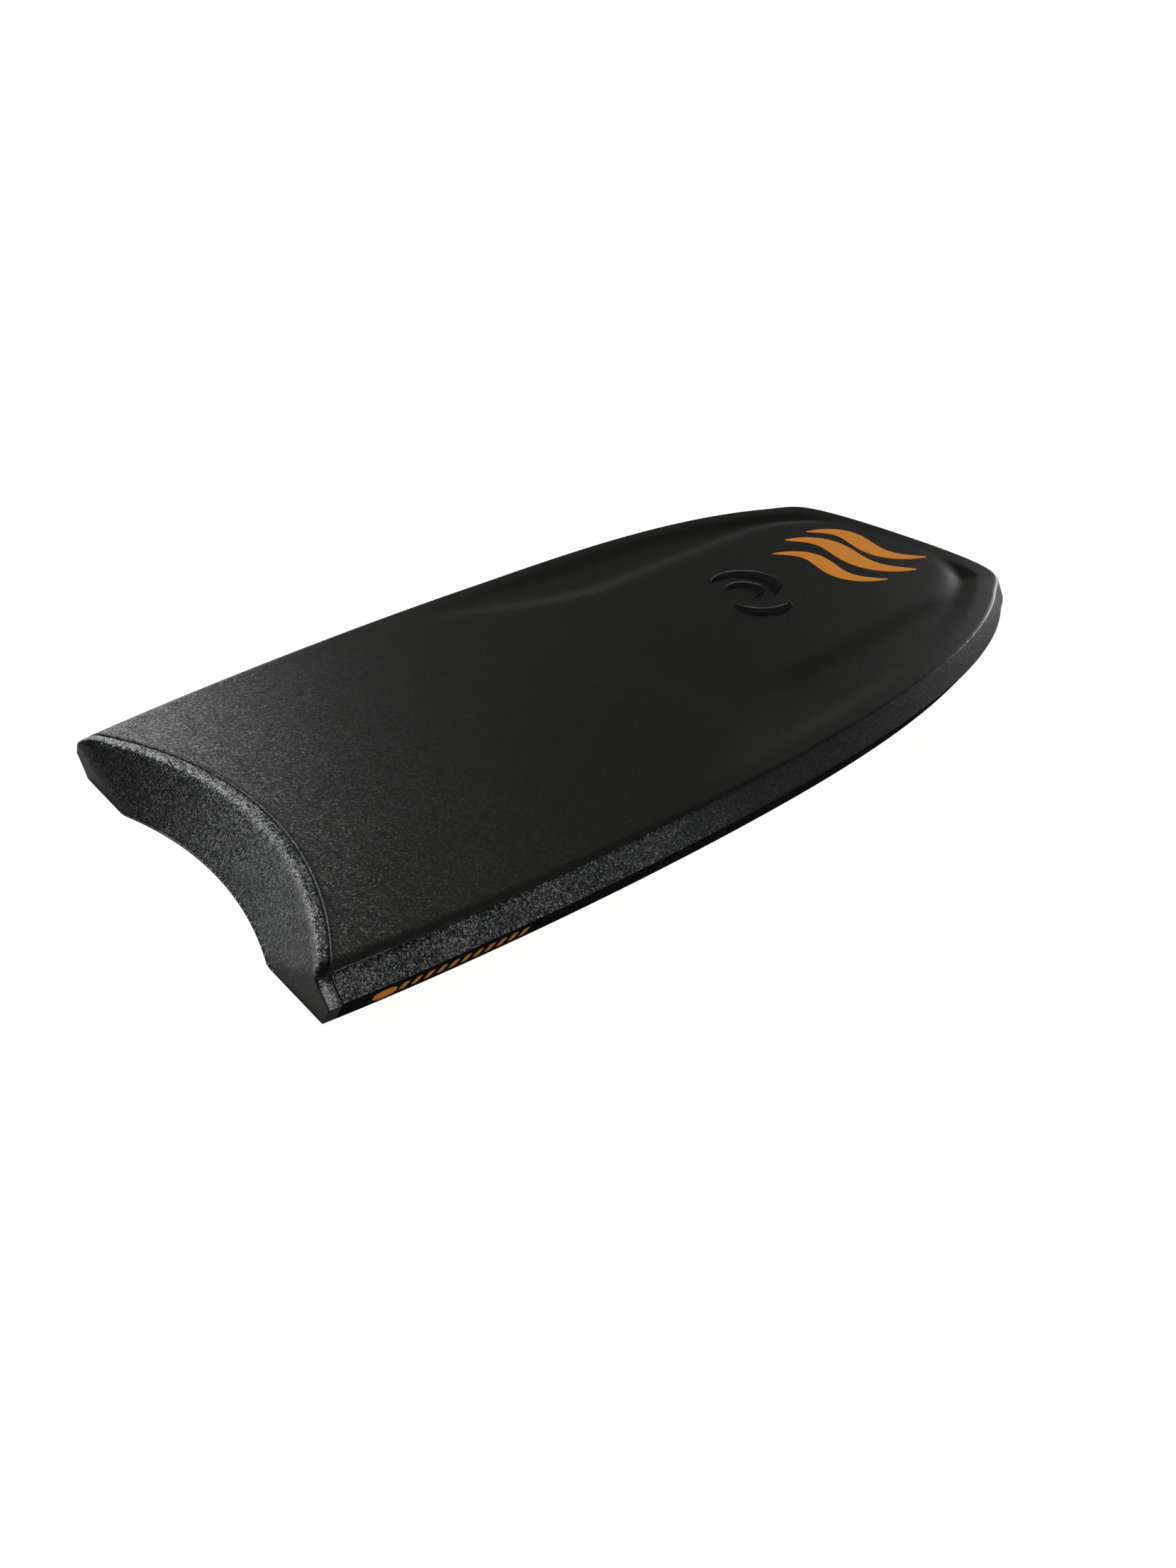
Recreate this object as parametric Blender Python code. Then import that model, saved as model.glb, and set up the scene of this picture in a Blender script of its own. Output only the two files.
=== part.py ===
"""A 42 inch bodyboard with a crescent tail, as the layers and strips it is laminated from.

Metres. +Y points to the nose, +X to the rider's right and +Z up. The board lies on Z = 0,
slick side down, with the origin under the middle of its length.

The outer shape is one outline in plan, the rail edge, and one section that changes along it.
Every piece is placed by two distances: how far in from the rail edge, and how high above the
bottom. So a change of outline, thickness or layer moves all the pieces that meet there.
"""
import math
from collections import namedtuple

import bmesh
import bpy
import numpy as np
from mathutils import Vector
from mathutils.geometry import interpolate_bezier

# Outline of the rail edge in plan
LENGTH = 1.067
WIDTH = 0.573                 # at the widest point
WIDEST_AHEAD = -0.017         # widest point, ahead of the middle
WIDEST_HANDLE_BACK = 0.183    # how far the widest stretch stays straight, towards the tail
WIDEST_HANDLE_FRONT = 0.133   # and towards the nose
TAIL_WIDTH = 0.4955
TAIL_FLARE = math.radians(9.9)
TAIL_HANDLE = 0.127
SHOULDER_WIDTH = 0.406        # where the side starts to turn into the nose
SHOULDER_BACK = 0.0724        # behind the tip of the nose
SHOULDER_TURN = math.radians(30.7)
SHOULDER_HANDLE_BACK = 0.157
SHOULDER_HANDLE_FRONT = 0.056
NOSE_FLAT = 0.377             # width of the nearly straight nose

# Side view: even and flat as far as here, then thinner and rising to the nose
EVEN_TO = 0.0
THICKNESS = 0.0493
NOSE_THICKNESS = 0.036
THINNING_POWER = 2.0          # how fast it thins ahead of there
NOSE_ROCKER = 0.025           # rise of the bottom at the nose
ROCKER_POWER = 1.5            # how fast it rises

# Section
RAIL_EDGE_HEIGHT = 0.0248     # the sharp line along the side, as far as EVEN_TO
NOSE_EDGE_HEIGHT = 0.0116
LOWER_RAIL_LEAN = math.radians(29.8)
CHINE_INSET = 0.0163          # in from the rail edge to where chine and deck would meet
NOSE_CHINE_INSET = 0.0102
ROLL_RADIUS_TAIL = 0.024      # deck rolling over into the chine
ROLL_RADIUS_FRONT = 0.006
ROLL_FRONT = 0.017            # ahead of this the roll keeps its smaller radius
ROLL_ROOM = 0.95              # share of the rail's top that the roll may take
SKIN_REACH = 0.6              # how far round the roll the deck skin goes

# Deck contour: a raised middle with an elbow well on each side of it
WELL_DEPTH = 0.0045
WELL_SLOPE = 0.034            # width of the slope down from the middle
WELL_RIM = 0.029              # width of the slope back up to the rail
WELL_START = -0.17
WELL_FULL = 0.12
MIDDLE_WIDTH = 0.284
MIDDLE_FLARE = 0.075          # how much wider each side is where the wells start
MIDDLE_CORNER = 0.120         # corner radius of the raised middle at the nose
MIDDLE_END = 0.036            # from its front edge to the tip of the nose

# Crescent tail
CRESCENT_RADIUS = 0.450
CRESCENT_DEPTH_BOTTOM = 0.024
CRESCENT_DEPTH_DECK = 0.0665

# Layers and strips
GAP = 0.0003                  # between neighbours, where the real ones are welded or glued
SLICK = 0.0015
MESH = 0.0008
CONTACT_FOAM = 0.003
DECK_SKIN = 0.005
RAIL_WIDTH = 0.031            # rail strips and nose bumper, in from the rail edge
BUMPER = 0.012                # tail bumper, along the board

# Stringers: two carbon tubes, each in a bore drilled from the nose
STRINGER_OFFSET = 0.090
STRINGER_OD = 0.0127
STRINGER_WALL = 0.001
STRINGER_REAR = -0.440
STRINGER_FRONT = 0.395
CAP_FLANGE = 0.003
CAP_SPIGOT = 0.014
PLUG_RECESS = 0.002           # foam plug, behind the front face of the core

# Fineness
CURVE_STEPS = 160
ROWS = 19
HALF_COLUMNS = 8
ROW_CROWDING = 0.62           # 0 spaces the rows evenly, 1 crowds them at both ends
NOSE_SWEEP_START = 0.6        # share of the length where rows start to bend with the nose
CORNER_ANGLE = math.radians(62)
OVERRUN = 0.030               # pieces are built past the tail and cut back to it
CRESCENT_SIDES = 120
ROUND_SIDES = 20
ROLL_SIDES = 3                # facets round the rolled edge
CUT_MARGIN = 0.05

TAIL = -LENGTH / 2
NOSE = LENGTH / 2
CORE_BOTTOM = SLICK + MESH + CONTACT_FOAM + 3 * GAP
DECK_STACK = DECK_SKIN + MESH + 2 * GAP


def smoothstep(low, high, value):
    share = min(max((value - low) / (high - low), 0.0), 1.0)
    return share * share * (3 - 2 * share)


def front_share(y):
    """How far a place is from the end of the even stretch, 0, to the nose, 1."""
    return max((y - EVEN_TO) / (NOSE - EVEN_TO), 0.0)


def towards(even, nose, share):
    return even + (nose - even) * min(share, 1.0)


def thickness(y):
    return towards(THICKNESS, NOSE_THICKNESS, front_share(y) ** THINNING_POWER)


def rocker(y):
    return NOSE_ROCKER * front_share(y) ** ROCKER_POWER


def rail_edge_outline():
    """The rail edge in plan and its outward normals: right half, from behind the tail to the tip."""
    flare = Vector((math.sin(TAIL_FLARE), math.cos(TAIL_FLARE)))
    turn = Vector((-math.sin(SHOULDER_TURN), math.cos(SHOULDER_TURN)))
    ahead = Vector((0, 1))
    tail = Vector((TAIL_WIDTH / 2, TAIL))
    widest = Vector((WIDTH / 2, WIDEST_AHEAD))
    shoulder = Vector((SHOULDER_WIDTH / 2, NOSE - SHOULDER_BACK))
    tip = Vector((0, NOSE))
    points = [tail - flare * OVERRUN]
    points += interpolate_bezier(
        tail, tail + flare * TAIL_HANDLE, widest - ahead * WIDEST_HANDLE_BACK, widest, CURVE_STEPS)
    points += interpolate_bezier(
        widest, widest + ahead * WIDEST_HANDLE_FRONT, shoulder - turn * SHOULDER_HANDLE_BACK,
        shoulder, CURVE_STEPS)[1:]
    points += interpolate_bezier(
        shoulder, shoulder + turn * SHOULDER_HANDLE_FRONT, tip + Vector((NOSE_FLAT / 2, 0)), tip,
        CURVE_STEPS)[1:]
    points = np.array([p[:] for p in points])
    along = np.r_[0, np.cumsum(np.hypot(*np.diff(points, axis=0).T))]
    tangent = np.gradient(points, along, axis=0)
    tangent /= np.hypot(*tangent.T)[:, None]
    return points, np.c_[tangent[:, 1], -tangent[:, 0]]


OUTLINE, NORMALS = rail_edge_outline()


def well(x, y):
    """Depth of the elbow wells below the plain deck."""
    half = MIDDLE_WIDTH / 2 + MIDDLE_FLARE * (1 - smoothstep(WELL_START, WELL_FULL, y))
    across = abs(x) - (half - MIDDLE_CORNER)
    along = y - (NOSE - MIDDLE_END - MIDDLE_CORNER)
    outside = math.hypot(max(across, 0), max(along, 0)) + min(max(across, along), 0) - MIDDLE_CORNER
    from_rail = float(np.hypot(*(OUTLINE - (abs(x), y)).T).min())
    rim = smoothstep(RAIL_WIDTH, RAIL_WIDTH + WELL_RIM, from_rail)
    return WELL_DEPTH * smoothstep(0, WELL_SLOPE, outside) * rim * smoothstep(WELL_START, WELL_FULL, y)


def foam_edge_samples():
    """Places along the core's edge, as (point, outward normal): the side's rows, then the nose."""
    edge = OUTLINE - NORMALS * RAIL_WIDTH
    angle = np.arctan2(NORMALS[:, 1], NORMALS[:, 0])
    corner = int(np.argmax(angle >= CORNER_ANGLE))
    steps = np.arange(len(edge))
    share = np.linspace(0, 1, ROWS + 1)
    share = (1 - ROW_CROWDING) * share + ROW_CROWDING * (1 - np.cos(np.pi * share)) / 2
    rows = edge[0, 1] + (edge[corner, 1] - edge[0, 1]) * share
    side = np.interp(rows, edge[:corner + 1, 1], steps[:corner + 1])
    columns = edge[corner, 0] * np.linspace(1, 0, HALF_COLUMNS + 1)[1:]
    nose = np.interp(-columns, -edge[corner:, 0], steps[corner:])

    def pick(step):
        point = Vector([np.interp(step, steps, edge[:, k]) for k in (0, 1)])
        normal = Vector([np.interp(step, steps, NORMALS[:, k]) for k in (0, 1)]).normalized()
        return point, normal

    return [pick(step) for step in side], [pick(step) for step in nose]


# One face of a sheet: height(y) above the bottom inside the core's edge, the rings outside it
# as functions of a Section that give (inset, height), and whether the inside dips with the wells.
Face = namedtuple("Face", "height rings welled")

SIDE, HALF_NOSE = foam_edge_samples()


def mirrored(sample):
    point, normal = sample
    return Vector((-point.x, point.y)), Vector((-normal.x, normal.y))


def place(sample, inset, height):
    """World point at a sample, by its inset from the rail edge and height above the bottom."""
    point, normal = sample
    at = point + normal * (RAIL_WIDTH - inset)
    return Vector((at.x, at.y, rocker(at.y) + height))


class Section:
    """Insets and heights of the outer profile at one place along the board."""

    def __init__(self, y):
        share = front_share(y) ** ROCKER_POWER
        self.thickness = thickness(y)
        self.edge = towards(RAIL_EDGE_HEIGHT, NOSE_EDGE_HEIGHT, share)
        self.chine = towards(CHINE_INSET, NOSE_CHINE_INSET, share)
        self.lean = math.atan2(self.chine, self.thickness - self.edge)
        self.turn = math.pi / 2 - self.lean
        ahead = min(max((y - TAIL) / (ROLL_FRONT - TAIL), 0.0), 1.0)
        wanted = towards(ROLL_RADIUS_TAIL, ROLL_RADIUS_FRONT, ahead)
        room = ROLL_ROOM * (RAIL_WIDTH - self.chine) / math.tan(self.turn / 2)
        self.roll = max(min(wanted, room), DECK_SKIN + 3 * GAP)
        self.roll_start = self.chine + self.roll * math.tan(self.turn / 2)

    def side(self, height):
        """Inset of the outer face at a height, below or above the rail edge."""
        lean = LOWER_RAIL_LEAN if height < self.edge else self.lean
        return abs(height - self.edge) * math.tan(lean)

    def rolled(self, depth, share):
        """A point on the rolled edge, at a depth under its surface; share 0 is the deck, 1 the chine."""
        radius = self.roll - depth
        angle = self.turn * share
        inset = self.roll_start - radius * math.sin(angle)
        return inset, self.thickness - self.roll + radius * math.cos(angle)


def new_object(name, bm, material=None):
    bmesh.ops.recalc_face_normals(bm, faces=bm.faces)
    mesh = bpy.data.meshes.new(name)
    bm.to_mesh(mesh)
    bm.free()
    obj = bpy.data.objects.new(name, mesh)
    bpy.context.collection.objects.link(obj)
    if material:
        mesh.materials.append(finish(material))
    return obj


FINISHES = {
    # name: (linear colour, roughness, metallic)
    "bead_foam": ((0.55, 0.55, 0.53), 0.85, 0.0),
    "dense_foam": ((0.013, 0.013, 0.013), 0.6, 0.0),
    "rail_foam": ((0.030, 0.032, 0.035), 0.7, 0.0),
    "white_foam": ((0.60, 0.60, 0.60), 0.8, 0.0),
    "net": ((0.35, 0.35, 0.33), 0.6, 0.0),
    "slick": ((0.010, 0.010, 0.011), 0.2, 0.0),
    "carbon": ((0.02, 0.02, 0.02), 0.3, 0.0),
    "cap_plastic": ((0.04, 0.04, 0.04), 0.5, 0.0),
}


def finish(name):
    """A plain Principled material, made the first time that it is asked for."""
    made = bpy.data.materials.get(name)
    if made:
        return made
    made = bpy.data.materials.new(name)
    made.use_nodes = True
    shader = made.node_tree.nodes["Principled BSDF"]
    colour, roughness, metallic = FINISHES[name]
    shader.inputs["Base Color"].default_value = (*colour, 1.0)
    shader.inputs["Roughness"].default_value = roughness
    shader.inputs["Metallic"].default_value = metallic
    return made


def loft(name, rings, material):
    """A closed solid through cross-sections of equal point counts, capped at both ends."""
    bm = bmesh.new()
    loops = []
    for ring in rings:
        verts = [bm.verts.new(p) for p in ring]
        loops.append([bm.edges.new((verts[k - 1], verts[k])) for k in range(len(verts))])
    for first, second in zip(loops, loops[1:]):
        bmesh.ops.bridge_loops(bm, edges=first + second)
    bmesh.ops.contextual_create(bm, geom=loops[0])
    bmesh.ops.contextual_create(bm, geom=loops[-1])
    return new_object(name, bm, material)


def over_bottom(height, *rings):
    return Face(lambda y: height, rings, False)


def under_deck(depth, *rings):
    return Face(lambda y: thickness(y) - depth, rings, True)


def sheet_grid():
    """A flat grid inside the core's edge, with each border vertex numbered by its sample."""
    samples = SIDE + HALF_NOSE
    samples += [mirrored(s) for s in reversed(samples[:-1])]
    bm = bmesh.new()
    number = bm.verts.layers.int.new("sample")
    bm.verts.layers.int.new("ring")
    bmesh.ops.create_grid(bm, x_segments=2 * HALF_COLUMNS, y_segments=ROWS, size=1)
    half = HALF_COLUMNS
    for vert in bm.verts:
        column = round(vert.co.x * half)
        row = round((vert.co.y + 1) * ROWS / 2)
        edge = samples[row][0]
        tip = samples[ROWS + half - abs(column)][0]
        sweep = max(row / ROWS - NOSE_SWEEP_START, 0) / (1 - NOSE_SWEEP_START)
        vert.co = (column / half * edge.x, edge.y + (tip.y - samples[ROWS][0].y) * sweep ** 2, 0)
        if row == ROWS:
            vert[number] = 1 + ROWS + half - column
        elif column == half:
            vert[number] = 1 + row
        elif column == -half:
            vert[number] = len(samples) - row
    return bm, samples


def sheet(name, material, top, bottom):
    """A layer over the whole plan, between two Faces with the same number of rings."""
    bm, samples = sheet_grid()
    number, ring = bm.verts.layers.int["sample"], bm.verts.layers.int["ring"]
    border = [e for e in bm.edges
              if e.is_boundary and abs(e.verts[0][number] - e.verts[1][number]) == 1]
    for band in range(1, len(top.rings) + 1):
        grown = bmesh.ops.extrude_edge_only(bm, edges=border)["geom"]
        for vert in (g for g in grown if isinstance(g, bmesh.types.BMVert)):
            vert[ring] = band
        border = [g for g in grown if isinstance(g, bmesh.types.BMEdge)
                  and all(v[ring] == band for v in g.verts)]
    upper = list(bm.verts)
    copied = bmesh.ops.extrude_face_region(bm, geom=bm.faces[:])["geom"]
    lower = [g for g in copied if isinstance(g, bmesh.types.BMVert)]
    for face, verts in ((top, upper), (bottom, lower)):
        for vert in verts:
            if vert[ring]:
                sample = samples[vert[number] - 1]
                section = Section(sample[0].y)
                inset, height = face.rings[vert[ring] - 1](section)
                vert.co = place(sample, inset, height)
            else:
                x, y = vert.co.x, vert.co.y
                vert.co.z = rocker(y) + face.height(y) - (well(x, y) if face.welled else 0)
    return new_object(name, bm, material)


def cut(obj, cutter, operation="DIFFERENCE"):
    modifier = obj.modifiers.new(cutter.name, "BOOLEAN")
    modifier.operation = operation
    modifier.solver = "EXACT"
    modifier.object = cutter
    return obj


def as_cutter(obj):
    obj.hide_render = True
    obj.display_type = "WIRE"
    return obj


def box(name, low, high):
    bm = bmesh.new()
    bmesh.ops.create_cube(bm, size=1)
    size = [b - a for a, b in zip(low, high)]
    middle = [(a + b) / 2 for a, b in zip(low, high)]
    bmesh.ops.scale(bm, vec=size, verts=bm.verts)
    bmesh.ops.translate(bm, vec=middle, verts=bm.verts)
    return as_cutter(new_object(name, bm))


def crescent(name, reach):
    """The leaning cylinder that hollows the tail, moved ahead by reach."""
    lean = (CRESCENT_DEPTH_DECK - CRESCENT_DEPTH_BOTTOM) / THICKNESS
    low, high = -CUT_MARGIN, THICKNESS + CUT_MARGIN
    bm = bmesh.new()
    bmesh.ops.create_cone(
        bm, cap_ends=True, segments=CRESCENT_SIDES, radius1=CRESCENT_RADIUS,
        radius2=CRESCENT_RADIUS, depth=high - low)
    for vert in bm.verts:
        vert.co.z += (high + low) / 2
        vert.co.y += TAIL + reach + CRESCENT_DEPTH_BOTTOM + lean * vert.co.z - CRESCENT_RADIUS
    return as_cutter(new_object(name, bm))


def tail_slab(name, reach):
    """Everything behind a plane across the board, reach ahead of the tail."""
    return box(name, (-WIDTH, TAIL - WIDTH, -CUT_MARGIN), (WIDTH, TAIL + reach, THICKNESS + CUT_MARGIN))


def tail_zone(name, reach):
    """Everything within reach of the tail's rear faces, the crescent included."""
    return cut(tail_slab(name, reach), crescent(name + "_crescent", reach), "UNION")


def rod(name, start, end, radius, material=None):
    """A plain round bar between two points."""
    bm = bmesh.new()
    line = end - start
    bmesh.ops.create_cone(
        bm, cap_ends=True, segments=ROUND_SIDES, radius1=radius, radius2=radius, depth=line.length)
    bmesh.ops.translate(bm, vec=(0, 0, line.length / 2), verts=bm.verts)
    obj = new_object(name, bm, material)
    obj.location = start
    obj.rotation_euler = line.to_track_quat("Z", "Y").to_euler()
    return obj


def stringer_line(side):
    """Rear and front ends of a stringer, in the middle of the core's thickness at each."""
    ends = []
    for y in (STRINGER_REAR, STRINGER_FRONT):
        x = side * STRINGER_OFFSET
        top = thickness(y) - DECK_STACK - well(x, y)
        ends.append(Vector((x, y, rocker(y) + (CORE_BOTTOM + top) / 2)))
    return ends


def core_front(x):
    """Front of the core at a distance from the centre line."""
    nose = [SIDE[-1][0]] + [sample[0] for sample in HALF_NOSE]
    return float(np.interp(-abs(x), [-p.x for p in nose], [p.y for p in nose]))


def stringer_bore(name, side):
    rear, front = stringer_line(side)
    ahead = (front - rear).normalized()
    end = front + ahead * (NOSE - STRINGER_FRONT)
    return as_cutter(rod(name, rear - ahead * GAP, end, STRINGER_OD / 2 + GAP))


def stringer_tube(name, side):
    """Carbon tube between the flanges of its two caps."""
    rear, front = stringer_line(side)
    ahead = (front - rear).normalized()
    start = rear + ahead * (CAP_FLANGE + GAP)
    end = front - ahead * (CAP_FLANGE + GAP)
    obj = rod(name, start, end, STRINGER_OD / 2, "carbon")
    bm = bmesh.new()
    bm.from_mesh(obj.data)
    bmesh.ops.delete(bm, geom=[f for f in bm.faces if abs(f.normal.z) > 0.5], context="FACES_ONLY")
    bm.to_mesh(obj.data)
    bm.free()
    wall = obj.modifiers.new("wall", "SOLIDIFY")
    wall.thickness = STRINGER_WALL
    wall.offset = -1
    wall.use_even_offset = True
    return obj


def stringer_cap(name, seat, into_tube):
    """Moulded end cap: a flange as wide as the tube, and a spigot inside it."""
    flange, spigot = STRINGER_OD / 2, STRINGER_OD / 2 - STRINGER_WALL - GAP
    profile = [(0, 0), (flange, 0), (flange, CAP_FLANGE), (spigot, CAP_FLANGE),
               (spigot, CAP_FLANGE + CAP_SPIGOT), (0, CAP_FLANGE + CAP_SPIGOT)]
    bm = bmesh.new()
    verts = [bm.verts.new((r, 0, z)) for r, z in profile]
    edges = [bm.edges.new(pair) for pair in zip(verts, verts[1:])]
    bmesh.ops.spin(bm, geom=verts + edges, axis=(0, 0, 1), cent=(0, 0, 0), angle=2 * math.pi,
                   steps=ROUND_SIDES, use_merge=True)
    bmesh.ops.remove_doubles(bm, verts=bm.verts, dist=1e-6)
    obj = new_object(name, bm, "cap_plastic")
    obj.location = seat
    obj.rotation_euler = into_tube.to_track_quat("Z", "Y").to_euler()
    return obj


def bore_plug(name, side):
    """Foam plug that fills the bore from the front cap to the core's front face."""
    rear, front = stringer_line(side)
    ahead = (front - rear).normalized()
    reach = core_front(STRINGER_OFFSET + STRINGER_OD / 2) - PLUG_RECESS - front.y
    start = front + ahead * GAP
    return rod(name, start, front + ahead * (reach / ahead.y), STRINGER_OD / 2, "white_foam")


def lower_rail_section(sample):
    section = Section(sample[0].y)
    base, top = SLICK + GAP, section.edge - GAP / 2
    return [place(sample, section.side(base), base), place(sample, section.side(top), top),
            place(sample, RAIL_WIDTH - GAP, top), place(sample, RAIL_WIDTH - GAP, base)]


def upper_rail_section(sample):
    """The chine strip: its top is hollowed to seat the rolled edge of the deck skin."""
    section = Section(sample[0].y)
    base, seat = section.edge + GAP / 2, DECK_SKIN + GAP
    seam = section.turn * SKIN_REACH
    points = [place(sample, section.side(base), base), place(sample, *section.rolled(0, 1)),
              place(sample, *section.rolled(0, (1 + SKIN_REACH) / 2))]
    for depth in (0, seat):
        inset, height = section.rolled(depth, SKIN_REACH)
        points.append(place(sample, inset - GAP * math.cos(seam), height - GAP * math.sin(seam)))
    for share in (SKIN_REACH / 2, 0):
        points.append(place(sample, *section.rolled(seat, share)))
    points.append(place(sample, RAIL_WIDTH - GAP, section.thickness - seat))
    points.append(place(sample, RAIL_WIDTH - GAP, base))
    return points


def strips(section, names, material, zone):
    """The right rail, the left rail and the nose bumper, cut apart at the nose's corners."""
    side = [section(sample) for sample in SIDE]
    other = [section(mirrored(sample)) for sample in SIDE]
    nose = SIDE[-1:] + HALF_NOSE + [mirrored(s) for s in reversed(SIDE[-1:] + HALF_NOSE[:-1])]
    front = [section(sample) for sample in nose]
    # the rails stop a gap short of the bumper
    for rings in (side, other):
        last, before = rings[-1], rings[-2]
        rings[-1] = [p + (q - p).normalized() * GAP for p, q in zip(last, before)]
    cut(loft(names[0], side, material), zone)
    cut(loft(names[1], other, material), zone)
    loft(names[2], front, material)


def tail_bumper(behind, hollow):
    """The strip over the tail's rear faces and round its corners, cut from a full section."""
    reach = TAIL + CRESCENT_DEPTH_DECK + BUMPER
    ahead = [point.y > reach for point, _ in SIDE].index(True)
    rings = []
    for sample in SIDE[:ahead + 1]:
        section = Section(sample[0].y)
        base = SLICK + GAP
        profile = [(section.side(base), base), (0, section.edge)]
        profile += [section.rolled(0, share) for share in np.linspace(1, 0, ROLL_SIDES + 1)]
        right = [place(sample, inset, height) for inset, height in profile]
        left = [place(mirrored(sample), inset, height) for inset, height in reversed(profile)]
        rings.append(right + left)
    solid = loft("tail_bumper", rings, "rail_foam")
    cut(solid, behind)
    cut(solid, tail_zone("bumper_zone", BUMPER), "INTERSECT")
    cut(solid, hollow)


def core(zone):
    return cut(sheet("core", "bead_foam", under_deck(DECK_STACK), over_bottom(CORE_BOTTOM)), zone)


def nets(zone):
    """The two nets, one under the deck skin and one over the slick."""
    top, base = DECK_SKIN + GAP, SLICK + GAP
    cut(sheet("deck_mesh", "net", under_deck(top), under_deck(top + MESH)), zone)
    cut(sheet("bottom_mesh", "net", over_bottom(base + MESH), over_bottom(base)), zone)


def contact_foam(zone):
    base = SLICK + MESH + 2 * GAP
    cut(sheet("contact_foam", "white_foam", over_bottom(base + CONTACT_FOAM), over_bottom(base)), zone)


def deck_skin(zone):
    """The skin over the whole top, rolled over the rails as far as the chines."""
    def rings(depth):
        shares = np.linspace(0, SKIN_REACH, ROLL_SIDES)
        return [lambda s, share=share: s.rolled(depth, share) for share in shares]
    cut(sheet("deck_skin", "dense_foam", under_deck(0, *rings(0)), under_deck(DECK_SKIN, *rings(DECK_SKIN))),
        zone)


def slick_skin(behind, hollow):
    """The bottom sheet: it runs under the tail bumper to the rear faces."""
    solid = sheet(
        "slick_skin", "slick", over_bottom(SLICK, lambda s: (s.side(SLICK), SLICK)),
        over_bottom(0, lambda s: (s.side(0), 0)))
    cut(solid, behind)
    cut(solid, hollow)


def stringer(side, hand, solid_core):
    """One tube with its caps and plug, and the bore that they fill."""
    cut(solid_core, stringer_bore("bore_" + hand, side))
    rear, front = stringer_line(side)
    ahead = (front - rear).normalized()
    stringer_tube("stringer_tube_" + hand, side)
    stringer_cap("stringer_cap_rear_" + hand, rear, ahead)
    stringer_cap("stringer_cap_front_" + hand, front, -ahead)
    bore_plug("bore_plug_" + hand, side)


def bodyboard():
    for obj in list(bpy.data.objects):
        bpy.data.objects.remove(obj, do_unlink=True)
    zone = tail_zone("tail_zone", BUMPER + GAP)
    behind, hollow = tail_slab("behind_tail", 0), crescent("crescent", 0)
    solid_core = core(zone)
    nets(zone)
    contact_foam(zone)
    deck_skin(zone)
    slick_skin(behind, hollow)
    strips(lower_rail_section, ("lower_rail_right", "lower_rail_left", "nose_bumper_lower"),
           "dense_foam", zone)
    strips(upper_rail_section, ("upper_rail_right", "upper_rail_left", "nose_bumper_upper"),
           "rail_foam", zone)
    tail_bumper(behind, hollow)
    for side, hand in ((1, "right"), (-1, "left")):
        stringer(side, hand, solid_core)


bodyboard()
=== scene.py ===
"""Looks for a 42 inch bodyboard with a crescent tail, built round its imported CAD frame.

Metres. +Y points to the nose, +X to the rider's right and +Z up; the board lies on Z = 0.
"""
import math

import bmesh
import bpy
import numpy as np
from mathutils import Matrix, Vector
from mathutils.geometry import interpolate_bezier


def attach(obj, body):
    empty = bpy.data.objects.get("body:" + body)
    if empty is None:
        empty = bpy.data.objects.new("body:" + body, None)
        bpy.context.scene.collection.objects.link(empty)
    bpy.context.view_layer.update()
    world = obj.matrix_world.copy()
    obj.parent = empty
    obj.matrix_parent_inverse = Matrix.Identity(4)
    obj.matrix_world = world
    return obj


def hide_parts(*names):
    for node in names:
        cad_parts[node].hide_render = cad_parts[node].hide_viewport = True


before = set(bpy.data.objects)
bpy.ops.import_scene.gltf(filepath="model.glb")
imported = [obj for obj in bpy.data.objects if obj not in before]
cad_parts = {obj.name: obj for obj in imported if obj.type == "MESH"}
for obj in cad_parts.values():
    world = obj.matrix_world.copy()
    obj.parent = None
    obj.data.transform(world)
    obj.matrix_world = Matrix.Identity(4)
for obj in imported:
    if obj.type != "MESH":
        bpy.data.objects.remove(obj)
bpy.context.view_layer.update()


# ---- The studio
# A white table in a white room, both past white where the camera sees them, so only the board's
# own surfaces show. The light is soft and low: a broad matt ceiling, one softbox over the far
# corner of the tail, one beside the near rail, and low ones beyond the nose and the tail.
CAMERA_PLACE = (0.853, -0.806, 0.650)
CAMERA_TURN = tuple(math.radians(a) for a in (56.545, 0.0, 48.5))
CAMERA_LENS, FILM_SIDE = 26.46, 36.0      # mm
OVEREXPOSURE = 0.92                       # what only the camera sees of the table's light
TABLE_SIZE = 60
WALL_FOOT, WALL_TOP = 0.05, 0.24          # heights between which the walls darken
LIGHT_AT_FOOT, LIGHT_ABOVE = 0.75, 0.05


def linear(hex_colour):
    """sRGB hex to the linear colour that sockets take."""
    values = [int(hex_colour[k:k + 2], 16) / 255 for k in (1, 3, 5)]
    return [v / 12.92 if v <= 0.04045 else ((v + 0.055) / 1.055) ** 2.4 for v in values] + [1.0]


def put(tree, kind, inputs=(), **settings):
    """Adds a node: settings are its properties, and inputs its sockets' values or what links in."""
    made = tree.nodes.new(kind)
    for name, value in settings.items():
        setattr(made, name, value)
    for socket, value in dict(inputs).items():
        if isinstance(value, bpy.types.NodeSocket):
            tree.links.new(value, made.inputs[socket])
        else:
            made.inputs[socket].default_value = value
    return made


camera = bpy.data.objects.new("camera", bpy.data.cameras.new("camera"))
camera.location = CAMERA_PLACE
camera.rotation_euler = CAMERA_TURN
camera.data.lens = CAMERA_LENS
camera.data.sensor_width = FILM_SIDE
camera.data.clip_start = 0.01
bpy.context.scene.collection.objects.link(camera)
bpy.context.scene.camera = camera
bpy.context.scene.view_settings.view_transform = "Standard"

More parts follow.
